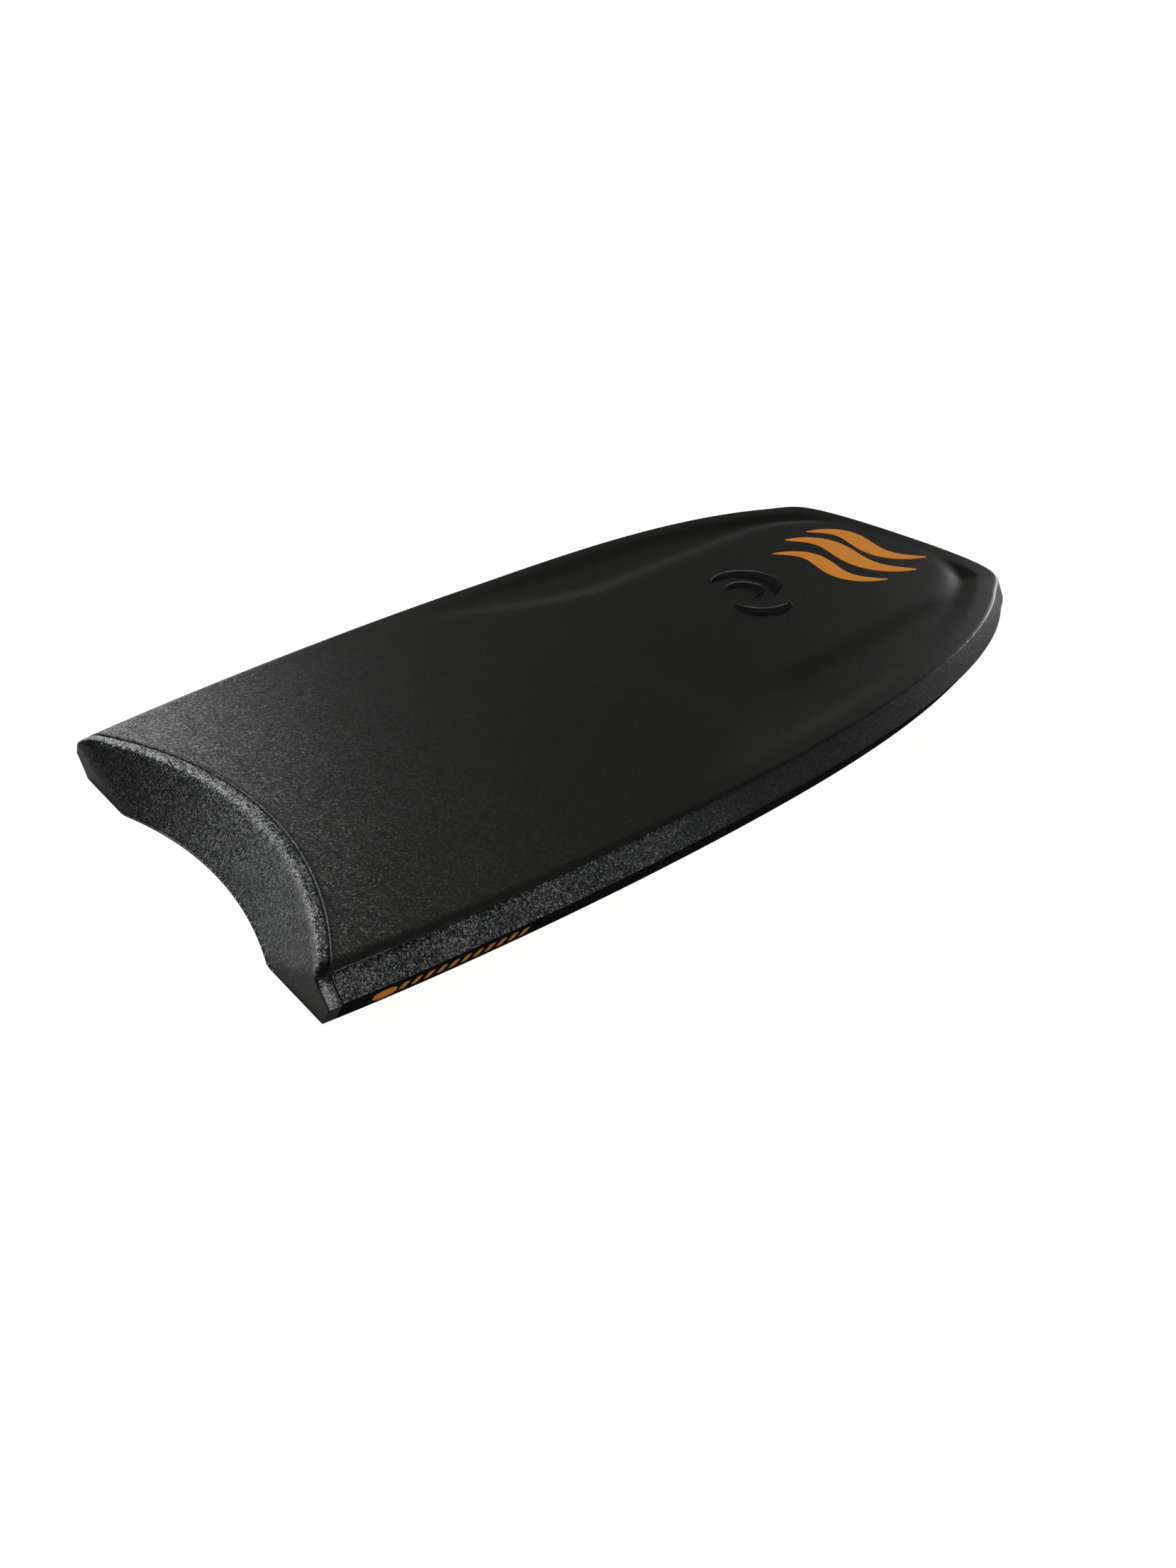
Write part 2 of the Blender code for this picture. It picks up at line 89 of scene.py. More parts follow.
# matt white paint, so the board leaves no reflection in it
white_floor = bpy.data.materials.new("white_table")
white_floor.use_nodes = True
table = white_floor.node_tree.nodes["Principled BSDF"]
table.inputs["Base Color"].default_value = linear("#8e8e8c")
table.inputs["Roughness"].default_value = 0.9
table.inputs["Specular IOR Level"].default_value = 0.0
table.inputs["Emission Color"].default_value = linear("#ffffff")
overexposed = put(white_floor.node_tree, "ShaderNodeMath", {
    0: put(white_floor.node_tree, "ShaderNodeLightPath").outputs["Is Camera Ray"],
    1: OVEREXPOSURE}, operation="MULTIPLY")
white_floor.node_tree.links.new(overexposed.outputs[0], table.inputs["Emission Strength"])
floor_bm = bmesh.new()
bmesh.ops.create_grid(floor_bm, x_segments=1, y_segments=1, size=TABLE_SIZE)
floor_mesh = bpy.data.meshes.new("floor")
floor_bm.to_mesh(floor_mesh)
floor_bm.free()
floor_mesh.materials.append(white_floor)
floor = bpy.data.objects.new("floor", floor_mesh)
bpy.context.scene.collection.objects.link(floor)


def lamp(name, kind, towards, place=(0, 0, 0), **settings):
    """A lamp that shines along a direction."""
    made = bpy.data.objects.new(name, bpy.data.lights.new(name, kind))
    for key, value in settings.items():
        setattr(made.data, key, value)
    made.location = place
    made.rotation_euler = Vector(towards).to_track_quat("-Z", "Y").to_euler()
    bpy.context.scene.collection.objects.link(made)
    return made


matt_ceiling = lamp("matt_ceiling", "SUN", (0.77, -0.18, -0.61), energy=2.6,
                    angle=math.radians(36))
matt_ceiling.visible_glossy = False
lamp("far_softbox", "AREA", (1.45, 0.05, -0.71), (-1.6, -0.45, 0.75), energy=15,
     shape="RECTANGLE", size=0.8, size_y=0.5)
lamp("rail_softbox", "AREA", (-1.20, -0.03, -0.57), (1.45, -0.42, 0.60), energy=10,
     shape="RECTANGLE", size=0.55, size_y=0.35)
lamp("nose_softbox", "AREA", (0.10, -1.00, -0.09), (-0.10, 2.30, 0.26), energy=20,
     shape="RECTANGLE", size=1.2, size_y=0.2)
lamp("tail_softbox", "AREA", (0.88, 0.33, -0.10), (-2.10, -1.20, 0.28), energy=4.0,
     shape="RECTANGLE", size=0.7, size_y=0.3)

world = bpy.data.worlds.new("studio_walls")
bpy.context.scene.world = world
world.use_nodes = True
walls = world.node_tree
direction = put(walls, "ShaderNodeTexCoord")
height_of = put(walls, "ShaderNodeSeparateXYZ", {"Vector": direction.outputs["Generated"]})
wall_light = put(walls, "ShaderNodeMapRange", {
    "Value": height_of.outputs["Z"], "From Min": WALL_FOOT, "From Max": WALL_TOP,
    "To Min": LIGHT_AT_FOOT, "To Max": LIGHT_ABOVE}, interpolation_type="SMOOTHSTEP")
seen_light = put(walls, "ShaderNodeMix", {
    "Factor": put(walls, "ShaderNodeLightPath").outputs["Is Camera Ray"],
    "A": wall_light.outputs["Result"], "B": 1.0})
walls.links.new(seen_light.outputs["Result"], walls.nodes["Background"].inputs["Strength"])
walls.nodes["Background"].inputs["Color"].default_value = linear("#ffffff")


# ---- Deck skin
# A 5 mm sheet of skinned polyethylene foam, pressed hot over the whole top of the board and rolled
# down over its sides to the chines. Its middle is raised, with a long elbow well down each side.
# At the tail it keeps the fine pebble of the roller it was cast on, its crowns painted lighter and
# its hollows darker as painted highlight and shade; further ahead the pebble and that painted light
# fade almost away.
TAIL, NOSE = -0.5335, 0.5335
HALF_WIDTH, WIDEST_AHEAD = 0.2865, -0.017
WIDEST_HANDLES = 0.183, 0.133           # towards the tail and towards the nose
HALF_TAIL, TAIL_FLARE, TAIL_HANDLE = 0.24775, math.radians(9.9), 0.127
HALF_SHOULDER, SHOULDER_BACK = 0.203, 0.0724
SHOULDER_TURN, SHOULDER_HANDLES = math.radians(30.7), (0.157, 0.056)
NOSE_HANDLE = 0.1885
OVERRUN = 0.030                         # the line of the rail is carried on behind the tail
NOSE_CORNER_TURN = math.radians(62.0)   # where the rails stop and the nose bumper starts

# each pair is the size as far as the middle of the board, and at the nose
THICKNESS, NOSE_THICKNESS = 0.0493, 0.036
RAIL_EDGE, NOSE_RAIL_EDGE = 0.0248, 0.0116    # height of the sharp line along the side
CHINE, NOSE_CHINE = 0.0163, 0.0102            # from the rail edge in to the deck's corner
NOSE_ROCKER, ROCKER_POWER = 0.025, 1.5
LOWER_RAIL_LEAN = math.radians(29.8)
ROLL_AT_TAIL, ROLL_AHEAD, ROLL_SETTLED = 0.024, 0.0055, 0.017
SKIN_REACH = 0.6                        # how far round the roll the deck skin goes
RAIL_WIDTH = 0.031                      # from the rail edge in to the core
DECK_SKIN, SEAM = 0.005, 0.0003

# the elbow wells: how deep, how wide their inner and outer slopes, where they begin and are full
WELL_DEPTH, WELL_SLOPE, WELL_RIM = 0.0045, 0.034, 0.029
WELL_START, WELL_FULL = -0.17, 0.12
# the raised middle: half its width, what it gains by the tail, its corners, its gap to the nose
HALF_MIDDLE, MIDDLE_FLARE, MIDDLE_CORNER, MIDDLE_END = 0.142, 0.075, 0.120, 0.036

# the hollow of the tail in plan, and how deep it is at the slick and at the deck
CRESCENT_RADIUS, CRESCENT_AT_BOTTOM, CRESCENT_AT_DECK = 0.450, 0.024, 0.0665
BUMPER = 0.012                          # the tail bumper's thickness, along the board


def smooth_rise(low, high, value):
    share = min(max((value - low) / (high - low), 0.0), 1.0)
    return share * share * (3 - 2 * share)


def front_share(y):
    return max(y / NOSE, 0.0)


def thickness(y):
    return THICKNESS + (NOSE_THICKNESS - THICKNESS) * min(front_share(y), 1.0) ** 2


def rocker(y):
    return NOSE_ROCKER * front_share(y) ** ROCKER_POWER


def tail_face(x, z, softness=0.0):
    """Y of the tail's rear faces: the leaning hollow of the crescent between two flat pegs."""
    depth = CRESCENT_AT_BOTTOM + (CRESCENT_AT_DECK - CRESCENT_AT_BOTTOM) * z / THICKNESS
    hollow = TAIL + depth - CRESCENT_RADIUS + math.sqrt(max(CRESCENT_RADIUS ** 2 - x * x, 0))
    if not softness:
        return max(TAIL, hollow)
    share = min(max(0.5 + 0.5 * (hollow - TAIL) / softness, 0.0), 1.0)
    return TAIL + (hollow - TAIL) * share + softness * share * (1 - share)


def rail_edge_line():
    """The rail edge in plan, right half: distances from the tail, points, outward normals."""
    flare = Vector((math.sin(TAIL_FLARE), math.cos(TAIL_FLARE)))
    turn = Vector((-math.sin(SHOULDER_TURN), math.cos(SHOULDER_TURN)))
    ahead = Vector((0, 1))
    tail, tip = Vector((HALF_TAIL, TAIL)), Vector((0, NOSE))
    widest = Vector((HALF_WIDTH, WIDEST_AHEAD))
    shoulder = Vector((HALF_SHOULDER, NOSE - SHOULDER_BACK))
    points = [tail - flare * OVERRUN]
    for a, b, c, d in (
            (tail, tail + flare * TAIL_HANDLE, widest - ahead * WIDEST_HANDLES[0], widest),
            (widest, widest + ahead * WIDEST_HANDLES[1], shoulder - turn * SHOULDER_HANDLES[0],
             shoulder),
            (shoulder, shoulder + turn * SHOULDER_HANDLES[1], tip + Vector((NOSE_HANDLE, 0)), tip)):
        points += interpolate_bezier(a, b, c, d, 200)[len(points) > 1:]
    points = np.array([p[:] for p in points])
    along = np.r_[0, np.cumsum(np.hypot(*np.diff(points, axis=0).T))] - OVERRUN
    tangent = np.gradient(points, along, axis=0)
    return along, points, np.c_[tangent[:, 1], -tangent[:, 0]]


ALONG, EDGE, OUTWARD = rail_edge_line()
TIP = ALONG[-1]
NOSE_CORNER = ALONG[np.argmax(np.arctan2(OUTWARD[:, 1], OUTWARD[:, 0]) >= NOSE_CORNER_TURN)]


def elbow_well(x, y):
    """How far the deck lies below its plain height."""
    half = HALF_MIDDLE + MIDDLE_FLARE * (1 - smooth_rise(WELL_START, WELL_FULL, y))
    across = abs(x) - (half - MIDDLE_CORNER)
    along = y - (NOSE - MIDDLE_END - MIDDLE_CORNER)
    outside = math.hypot(max(across, 0), max(along, 0)) + min(max(across, along), 0) - MIDDLE_CORNER
    from_rail = float(np.hypot(*(EDGE - (abs(x), y)).T).min())
    return (WELL_DEPTH * smooth_rise(0, WELL_SLOPE, outside) * smooth_rise(WELL_START, WELL_FULL, y)
            * smooth_rise(RAIL_WIDTH, RAIL_WIDTH + WELL_RIM, from_rail))


class Section:
    """The board's outer profile at one place along it, as insets from the rail edge and heights."""

    def __init__(self, y):
        share = min(front_share(y), 1.0) ** ROCKER_POWER
        self.thickness = thickness(y)
        self.edge = RAIL_EDGE + (NOSE_RAIL_EDGE - RAIL_EDGE) * share
        chine = CHINE + (NOSE_CHINE - CHINE) * share
        self.lean = math.atan2(chine, self.thickness - self.edge)
        self.turn = math.pi / 2 - self.lean
        ahead = min(max((y - TAIL) / (ROLL_SETTLED - TAIL), 0.0), 1.0)
        self.roll = ROLL_AT_TAIL + (ROLL_AHEAD - ROLL_AT_TAIL) * ahead
        self.roll_start = chine + self.roll * math.tan(self.turn / 2)

    def side(self, height):
        lean = LOWER_RAIL_LEAN if height < self.edge else self.lean
        return abs(height - self.edge) * math.tan(lean)

    def rolled(self, depth, share):
        """On the rolled edge, at a depth under its face: share 0 is on the deck, 1 on the chine."""
        radius, angle = self.roll - depth, self.turn * share
        return (self.roll_start - radius * math.sin(angle),
                self.thickness - self.roll + radius * math.cos(angle))


def at(distance, corner):
    """World point of a corner of the section, that distance along the right rail edge."""
    point = Vector([np.interp(distance, ALONG, EDGE[:, k]) for k in (0, 1)])
    outward = Vector([np.interp(distance, ALONG, OUTWARD[:, k]) for k in (0, 1)]).normalized()
    inset, height = corner(Section((point - outward * RAIL_WIDTH).y))
    spot = point - outward * inset
    return Vector((spot.x, spot.y, rocker(spot.y) + height))


def tail_start(corner, ahead):
    """How far along the rail edge a corner of the section meets the rear faces, moved ahead."""
    distance = 0.0
    for _ in range(12):
        spot = at(distance, corner)
        distance += tail_face(spot.x, spot.z) + ahead - spot.y
    return distance


def flip(point):
    return Vector((-point.x, *point[1:]))


def make_piece(name, bm, material, sharp=math.radians(40)):
    """Finishes a mesh: normals out, smooth faces with its real edges kept sharp."""
    bmesh.ops.recalc_face_normals(bm, faces=bm.faces)
    for face in bm.faces:
        face.smooth = True
    for edge in bm.edges:
        edge.smooth = len(edge.link_faces) == 2 and edge.calc_face_angle() < sharp
    mesh = bpy.data.meshes.new(name)
    bm.to_mesh(mesh)
    bm.free()
    mesh.materials.append(material)
    piece = bpy.data.objects.new(name, mesh)
    bpy.context.scene.collection.objects.link(piece)
    return piece


def core_edge(section):
    return RAIL_WIDTH, section.thickness


def laminate(upper, lower, tail_height, ahead, rows, columns=64):
    """A closed layer over the whole plan, its rear edge the tail's face at one height, moved ahead.

    upper and lower are each (height(y), the corners its rim passes through, whether it dips in the
    elbow wells, relief(x, y)).
    """
    starts = {}

    def along_side(ring, corner, share):
        if ring not in starts:
            starts[ring] = tail_start(corner, ahead)
        return starts[ring] + (NOSE_CORNER - starts[ring]) * share

    side = [at(along_side(-1, core_edge, t), core_edge).xy for t in rows]
    bm = bmesh.new()
    row_of, column_of = (bm.verts.layers.int.new(n) for n in ("row", "column"))
    ring_of = bm.verts.layers.int.new("ring")
    bmesh.ops.create_grid(bm, x_segments=columns, y_segments=len(rows) - 1, size=1)
    for vert in bm.verts:
        c, row = vert.co.x, round((vert.co.y + 1) / 2 * (len(rows) - 1))
        t = rows[row]
        nose = at(TIP + (NOSE_CORNER - TIP) * abs(c), core_edge).xy
        nose.x = math.copysign(nose.x, c)
        tail_x = c * side[0].x
        tail = Vector((tail_x, tail_face(tail_x, tail_height) + ahead))
        across = Vector((c * side[row].x, side[row].y))
        corners = (Vector((c * side[0].x, side[0].y)) * (1 - t)
                   + Vector((c * side[-1].x, side[-1].y)) * t)
        vert.co = (across + tail * (1 - t) + nose * t - corners).to_3d()
        vert[row_of], vert[column_of] = row, round((c + 1) / 2 * columns)
    border = [e for e in bm.edges if e.is_boundary and any(v[row_of] for v in e.verts)]
    for ring in range(1, len(upper[1]) + 1):
        grown = bmesh.ops.extrude_edge_only(bm, edges=border)["geom"]
        for vert in (g for g in grown if isinstance(g, bmesh.types.BMVert)):
            vert[ring_of] = ring
        border = [g for g in grown if isinstance(g, bmesh.types.BMEdge)
                  and all(v[ring_of] == ring for v in g.verts)]
    over = list(bm.verts)
    copied = bmesh.ops.extrude_face_region(bm, geom=bm.faces[:])["geom"]
    under = [g for g in copied if isinstance(g, bmesh.types.BMVert)]
    for verts, (height, rings, dips, relief) in ((over, upper), (under, lower)):
        starts.clear()
        for vert in verts:
            if not vert[ring_of]:
                x, y = vert.co.xy
                drop = elbow_well(x, y) if dips else 0
                vert.co.z = rocker(y) + height(y) - drop + relief(x, y)
                continue
            corner, row = rings[vert[ring_of] - 1], vert[row_of]
            c = vert[column_of] / columns * 2 - 1
            if row == len(rows) - 1:
                place = at(TIP + (NOSE_CORNER - TIP) * abs(c), corner)
            else:
                place = at(along_side(vert[ring_of], corner, rows[row]), corner)
            place.z += relief(place.x, place.y)
            vert.co = flip(place) if c < 0 else place
    return bm


WORN_PATCH = 0.045            # across the patches where hands and sand have smoothed the skin


def new_finish(name):
    """A new material, its node tree, its shader, and the place that its patterns read."""
    material = bpy.data.materials.new(name)
    material.use_nodes = True
    tree = material.node_tree
    place = put(tree, "ShaderNodeTexCoord").outputs["Object"]
    return material, tree, tree.nodes["Principled BSDF"], place


def pebbled_foam(name, dark, light, grain, depth, roughness, gloss, glitter, fade=None):
    """Polyethylene foam with its cast skin: a pebble of round cells, grain metres across.

    The cells are drawn about twice as coarse as real ones, so that they show.
    dark and light are the colours of its hollows and crowns, mixed by the pebble's height: painted
    shade in the hollows and painted highlight on the crowns. glitter is how far each cell's face is
    tipped off the surface. fade is (X or Y, where along it the pebble is full, where it has faded,
    what is left of it there); X counts from the middle, to both sides. The fade takes the bumps,
    the tipped faces and the painted highlight and shade down together.
    """
    material, tree, shader, place = new_finish(name)
    cells = put(tree, "ShaderNodeTexVoronoi", {
        "Vector": place, "Scale": 1 / grain, "Smoothness": 0.6, "Randomness": 1.0},
        feature="SMOOTH_F1")
    grit = put(tree, "ShaderNodeTexNoise", {
        "Vector": place, "Scale": 0.7 / grain, "Detail": 3.0, "Roughness": 0.62})
    patches = put(tree, "ShaderNodeTexNoise", {
        "Vector": place, "Scale": 1 / WORN_PATCH, "Detail": 2.0, "Roughness": 0.5})
    pebble = put(tree, "ShaderNodeMath", {
        0: cells.outputs["Distance"], 1: -0.9, 2: grit.outputs["Fac"]}, operation="MULTIPLY_ADD")
    worn = put(tree, "ShaderNodeMapRange", {
        "Value": patches.outputs["Fac"], "From Min": 0.35, "From Max": 0.65,
        "To Min": 0.75, "To Max": 1.0})
    keep = worn.outputs["Result"]
    if fade:
        axis, full, smooth, left = fade
        along = put(tree, "ShaderNodeSeparateXYZ", {"Vector": place}).outputs[axis]
        if axis == "X":
            along = put(tree, "ShaderNodeMath", {0: along}, operation="ABSOLUTE").outputs[0]
        faded = put(tree, "ShaderNodeMapRange", {
            "Value": along, "From Min": full, "From Max": smooth,
            "To Min": 1.0, "To Max": left}, interpolation_type="SMOOTHSTEP")
        keep = put(tree, "ShaderNodeMath", {
            0: keep, 1: faded.outputs["Result"]}, operation="MULTIPLY").outputs[0]
    bump = put(tree, "ShaderNodeBump", {
        "Strength": keep, "Distance": depth, "Height": pebble.outputs[0]})
    crowns = put(tree, "ShaderNodeMapRange", {
        "Value": pebble.outputs[0], "From Min": 0.05, "From Max": 0.45,
        "To Min": 0.0, "To Max": 1.0})
    share = put(tree, "ShaderNodeMath", {
        0: crowns.outputs["Result"], 1: keep}, operation="MULTIPLY")
    # painted highlight on the pebble's crowns and painted shade in its hollows
    colour = put(tree, "ShaderNodeMix", {
        "Factor": share.outputs[0], "A": linear(dark), "B": linear(light)}, data_type="RGBA")
    rough = put(tree, "ShaderNodeMapRange", {
        "Value": share.outputs[0], "From Min": 0.0, "From Max": 1.0,
        "To Min": roughness + 0.06, "To Max": roughness - 0.06})
    facets = put(tree, "ShaderNodeTexVoronoi", {"Vector": place, "Scale": 1 / grain})
    tip = put(tree, "ShaderNodeVectorMath", {0: facets.outputs["Color"], 1: (0.5, 0.5, 0.5)},
              operation="SUBTRACT")
    tip_by = put(tree, "ShaderNodeMath", {0: keep, 1: glitter}, operation="MULTIPLY")
    tipped = put(tree, "ShaderNodeVectorMath", {0: tip.outputs[0], "Scale": tip_by.outputs[0]},
                 operation="SCALE")
    glinting = put(tree, "ShaderNodeVectorMath", {0: bump.outputs["Normal"], 1: tipped.outputs[0]})
    normal = put(tree, "ShaderNodeVectorMath", {0: glinting.outputs[0]}, operation="NORMALIZE")
    tree.links.new(colour.outputs["Result"], shader.inputs["Base Color"])
    tree.links.new(rough.outputs["Result"], shader.inputs["Roughness"])
    tree.links.new(normal.outputs[0], shader.inputs["Normal"])
    shader.inputs["Specular IOR Level"].default_value = gloss
    return material


# dull black that goes warm grey where it faces the light, and sparkles at a low angle at the tail;
# the warm grey on its pebble's crowns is painted highlight and the black of its hollows painted
# shade, full at the tail and faded ahead
deck_foam = pebbled_foam(
    "skinned_polyethylene_deck", "#121211", "#22201e", 0.0014, 0.00018, 0.40, 0.34, 0.36,
    fade=("Y", -0.47, -0.05, 0.10))

# rows crowd at the tail, where a bead stands along the seam with the bumper
BEAD_ROWS = [0.0, 0.0005, 0.0011, 0.0018, 0.0026, 0.0035, 0.0046, 0.0062, 0.0085, 0.0125]
DECK_LENGTH = NOSE - TAIL
deck_rows = [r / DECK_LENGTH for r in BEAD_ROWS]
deck_rows += list(np.linspace(deck_rows[-1], 1, 120)[1:])
BEAD_HEIGHT, BEAD_CREST, BEAD_SPREAD = 0.0006, 0.0022, 0.0011
SEAM_SINK, SINK_SPREAD, BEAD_REACH = 0.0009, 0.0007, 0.010


def seam_bead(x, y):
    """The lip that the press squeezes up along the bumper, and the groove on its tail side."""
    back = y - (tail_face(x, THICKNESS) + BUMPER + SEAM)
    if back > BEAD_REACH:
        return 0.0
    crest = math.exp(-((back - BEAD_CREST) / BEAD_SPREAD) ** 2)
    return BEAD_HEIGHT * crest - SEAM_SINK * math.exp(-(back / SINK_SPREAD) ** 2)


def flat(x, y):
    return 0.0


SOFTENED = 0.0004             # how far a cut corner is softened
ROLL_SHARES = [0.0, 0.12, 0.25, 0.38, 0.5, 0.62, 0.75, 0.88, 0.96]
deck_rings = [lambda s, k=k: s.rolled(0, SKIN_REACH * k) for k in ROLL_SHARES]
deck_rings.append(lambda s: s.rolled(SOFTENED, SKIN_REACH))
under_rings = [lambda s, k=k: s.rolled(DECK_SKIN - SEAM, SKIN_REACH * k)
               for k in ROLL_SHARES + [1.0]]
deck = make_piece("deck_skin_foam", laminate(
    (thickness, deck_rings, True, seam_bead),
    (lambda y: thickness(y) - DECK_SKIN + SEAM, under_rings, True, flat),
    THICKNESS, BUMPER + SEAM, deck_rows), deck_foam)
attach(deck, "root")
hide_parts("deck_skin")


# ---- Chines
# Strips of denser foam glued along both sides and round the nose, between the rail edge and the
# rolled skin, and planed to a flat bevel. Near the tail the cut cells are coarse and glitter, and
# their crowns carry a painted lighter grey for the light that falls there; towards the middle the
# glitter and the painted light fade, leaving the chine darker.
CHINE_STEPS, NOSE_STEPS = 150, 60


def sweep(corners, distances):
    """A closed strip through one section after another. distances[k] holds one for each corner."""
    bm = bmesh.new()
    which = bm.verts.layers.int.new("corner")
    ring = [bm.verts.new(at(d, corner)) for d, corner in zip(distances[0], corners)]
    for k, vert in enumerate(ring):
        vert[which] = k
    edges = [bm.edges.new((ring[k - 1], ring[k])) for k in range(len(ring))]
    bmesh.ops.contextual_create(bm, geom=edges)
    for row in distances[1:]:
        grown = bmesh.ops.extrude_edge_only(bm, edges=edges)["geom"]
        verts = {g for g in grown if isinstance(g, bmesh.types.BMVert)}
        edges = [g for g in grown if isinstance(g, bmesh.types.BMEdge)
                 and all(v in verts for v in g.verts)]
        for vert in verts:
            vert.co = at(row[vert[which]], corners[vert[which]])
    bmesh.ops.contextual_create(bm, geom=edges)
    return bm


def mirrored(bm):
    """The left piece made from the right one."""
    for vert in bm.verts:
        vert.co.x = -vert.co.x
    return bm


def strips(kind, corners, material):
    """The right and left strips and the one round the nose, each in place of a CAD node that it
    hides.
    """
    starts = [tail_start(corner, BUMPER + SEAM) for corner in corners]
    shares = np.linspace(0, 1, CHINE_STEPS + 1)
    side = [[start + (NOSE_CORNER - SEAM - start) * t for start in starts] for t in shares]
    for hand in ("right", "left"):
        bm = sweep(corners, side)
        piece = make_piece(f"{kind[0]}_{hand}", bm if hand == "right" else mirrored(bm), material)
        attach(piece, "root")
        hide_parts(f"{kind[1]}_{hand}")
    half = [[d] * len(corners) for d in np.linspace(NOSE_CORNER, TIP, NOSE_STEPS + 1)]
    bm = sweep(corners, half)
    caps = [f for f in bm.faces if all(abs(v.co.x) < 1e-6 for v in f.verts)]
    bmesh.ops.delete(bm, geom=caps, context="FACES_ONLY")
    bmesh.ops.mirror(bm, geom=bm.verts[:] + bm.edges[:] + bm.faces[:], axis="X",
                     merge_dist=1e-5)
    bmesh.ops.remove_doubles(bm, verts=bm.verts, dist=1e-5)
    nose = make_piece(kind[2], bm, material)
    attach(nose, "root")
    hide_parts(kind[3])


def chine_corner(rise):
    """On the chine's face, that far above its base."""
    return lambda s: (s.side(s.edge + SEAM / 2 + rise), s.edge + SEAM / 2 + rise)


def under_skin_edge(depth, away):
    """On the line where the deck skin ends, at a depth under the face and so far below the line."""
    def corner(s):
        inset, height = s.rolled(depth, SKIN_REACH)
        seam = s.turn * SKIN_REACH
        return inset - away * math.cos(seam), height - away * math.sin(seam)
    return corner


SEAT = DECK_SKIN + SEAM
chine_corners = [
    lambda s: (0.0012, s.edge + SEAM / 2), lambda s: (0.0005, s.edge + SEAM / 2 + 0.0002),
    lambda s: (0.0004, s.edge + SEAM / 2 + 0.0007)]
chine_corners += [chine_corner(rise) for rise in (0.0014, 0.004, 0.007)]
chine_corners += [lambda s, k=k: s.rolled(0, 1 + (SKIN_REACH - 1) * k)
                  for k in (0, 0.25, 0.5, 0.75, 0.93)]
chine_corners += [
    under_skin_edge(SOFTENED, SEAM), under_skin_edge(SEAT, SEAM),
    lambda s: s.rolled(SEAT, SKIN_REACH / 2), lambda s: s.rolled(SEAT, 0),
    lambda s: (RAIL_WIDTH - SEAM, s.thickness - SEAT),
    lambda s: (RAIL_WIDTH - SEAM, s.edge + SEAM / 2)]
# a black like the deck's, but full of tiny glints, because each cut cell has its own facet; the
# lighter grey on its crowns is painted highlight, full at the tail and mostly gone by the middle
chine_foam = pebbled_foam(
    "planed_polyethylene_chine", "#060708", "#15171a", 0.0015, 0.0005, 0.32, 0.50, 0.90,
    fade=("Y", -0.30, 0.00, 0.16))
strips(("chine", "upper_rail", "chine_nose", "nose_bumper_upper"), chine_corners,
       chine_foam)


# ---- Lower rails
# Strips of smooth-skinned foam glued under the chines, all round but the tail, and leaning in to
# the slick. A fine groove along the rail edge shows the joint with the chine.
STRIP_BASE = 0.0018           # the strips stop just above the slick
lower_corners = [
    lambda s: (s.side(STRIP_BASE) + 0.0008, STRIP_BASE),
    lambda s: (s.side(0.0022) + 0.0001, 0.0021),
    lambda s: (s.side(0.0028), 0.0028), lambda s: (s.side(0.008), 0.008),
    lambda s: (s.side(0.014), 0.014),
    lambda s: (s.side(s.edge - 0.0015), s.edge - 0.0015),
    lambda s: (0.0004, s.edge - SEAM / 2 - 0.0007), lambda s: (0.0005, s.edge - SEAM / 2 - 0.0002),
    lambda s: (0.0012, s.edge - SEAM / 2),
    lambda s: (RAIL_WIDTH - SEAM, s.edge - SEAM / 2), lambda s: (RAIL_WIDTH - SEAM, STRIP_BASE)]
# a flat, smooth black with almost no shine
lower_foam = pebbled_foam(
    "smooth_polyethylene_rail", "#090909", "#101010", 0.0018, 0.00010, 0.45, 0.02, 0.0)
strips(("lower_rail", "lower_rail", "lower_nose", "nose_bumper_lower"), lower_corners,
       lower_foam)


# ---- Tail bumper
# One 12 mm strip of dense foam, bent into the crescent and wrapped round both corners of the tail,
# glued over the cut ends of every layer. Its edges are rounded over by hand with a hot iron.
BUMPER_COLUMNS = 120
RIM_AT_DECK, RIM_AT_SIDE, RIM_AT_BOTTOM = 0.0050, 0.0016, 0.0006
RIM_SHARES = [0.0, 0.12, 0.27, 0.42, 0.58, 0.73, 0.88, 1.0]
PEG_SOFTNESS = 0.006          # how softly the crescent runs out into the two pegs
FRONT_CHAMFER, CHAMFER_DEPTH = 0.0006, 0.0010


